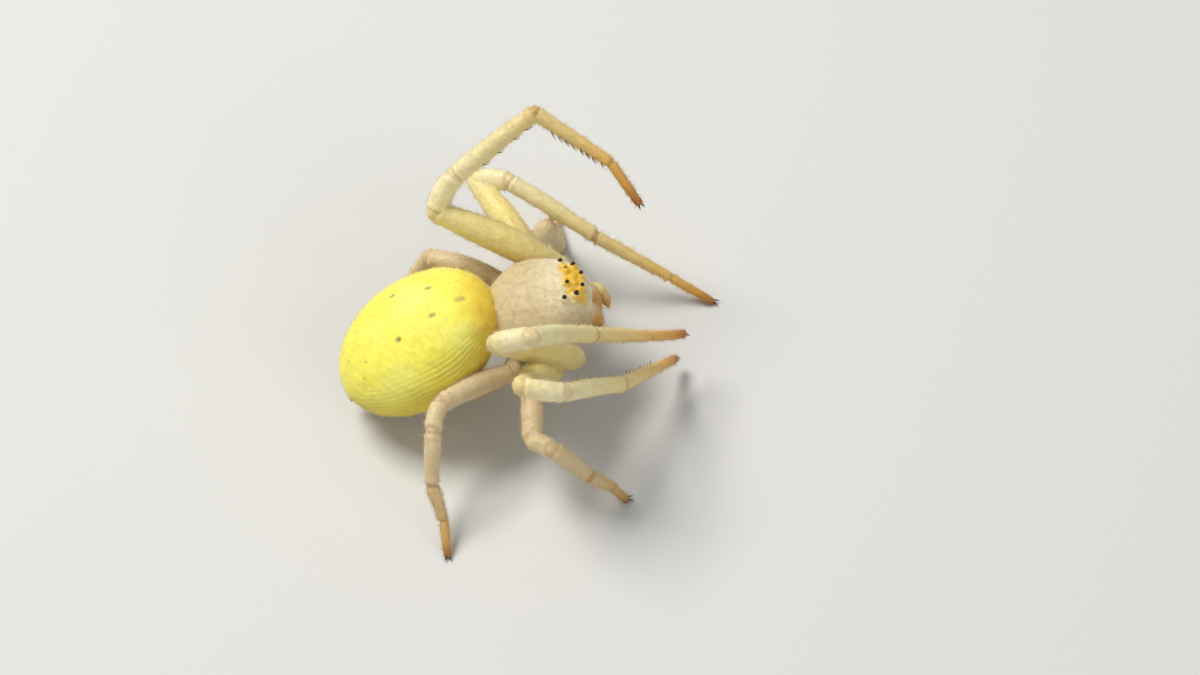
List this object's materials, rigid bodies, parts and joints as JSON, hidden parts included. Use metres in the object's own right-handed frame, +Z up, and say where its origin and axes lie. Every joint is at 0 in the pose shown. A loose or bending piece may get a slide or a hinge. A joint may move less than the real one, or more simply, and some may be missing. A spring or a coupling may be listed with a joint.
{
  "type": "crab spider model",
  "caption": "Still life-size crab spider: domed front body with eyes and mouthparts, egg-shaped abdomen, long front legs raised and short rear legs standing.",
  "frame": {"origin": "middle of the footprint box, on the ground under the feet", "axes": "+X towards the head, +Y towards the spider's left, +Z up"},
  "size_m": [0.0132, 0.0152, 0.0083],
  "materials": {
    "abdomen": "satin",
    "prosoma": "satin",
    "pale_legs": "satin",
    "tan_legs": "satin",
    "leg_ends": "satin",
    "mouthparts": "gloss",
    "eyes": "gloss",
    "claws": "gloss"
  },
  "bodies": {
    "root": {"femur_L1": "pale_legs", "femur_L2": "pale_legs", "femur_L3": "tan_legs", "femur_L4": "tan_legs", "femur_R1": "pale_legs", "femur_R2": "pale_legs", "femur_R3": "tan_legs", "femur_R4": "tan_legs", "patella_L1": "pale_legs", "tibia_L1": "pale_legs", "tarsus_L1": "leg_ends", "claws_L1": "claws", "patella_R1": "pale_legs", "tibia_R1": "pale_legs", "tarsus_R1": "leg_ends", "claws_R1": "claws", "patella_L2": "pale_legs", "tibia_L2": "pale_legs", "tarsus_L2": "leg_ends", "claws_L2": "claws", "patella_R2": "pale_legs", "tibia_R2": "pale_legs", "tarsus_R2": "leg_ends", "claws_R2": "claws", "patella_L3": "tan_legs", "tibia_L3": "tan_legs", "tarsus_L3": "leg_ends", "claws_L3": "claws", "patella_R3": "tan_legs", "tibia_R3": "tan_legs", "tarsus_R3": "leg_ends", "claws_R3": "claws", "patella_L4": "tan_legs", "tibia_L4": "tan_legs", "tarsus_L4": "leg_ends", "claws_L4": "claws", "patella_R4": "tan_legs", "tibia_R4": "tan_legs", "tarsus_R4": "leg_ends", "claws_R4": "claws", "chelicera_L": "mouthparts", "palp_L": "prosoma", "chelicera_R": "mouthparts", "palp_R": "prosoma", "eye_front_median_L": "eyes", "eye_front_median_R": "eyes", "eye_front_lateral_L": "eyes", "eye_front_lateral_R": "eyes", "eye_rear_median_L": "eyes", "eye_rear_median_R": "eyes", "eye_rear_lateral_L": "eyes", "eye_rear_lateral_R": "eyes", "prosoma": "prosoma", "abdomen": "abdomen", "pedicel": "prosoma", "spinnerets": "abdomen"}
  },
  "joints": []
}
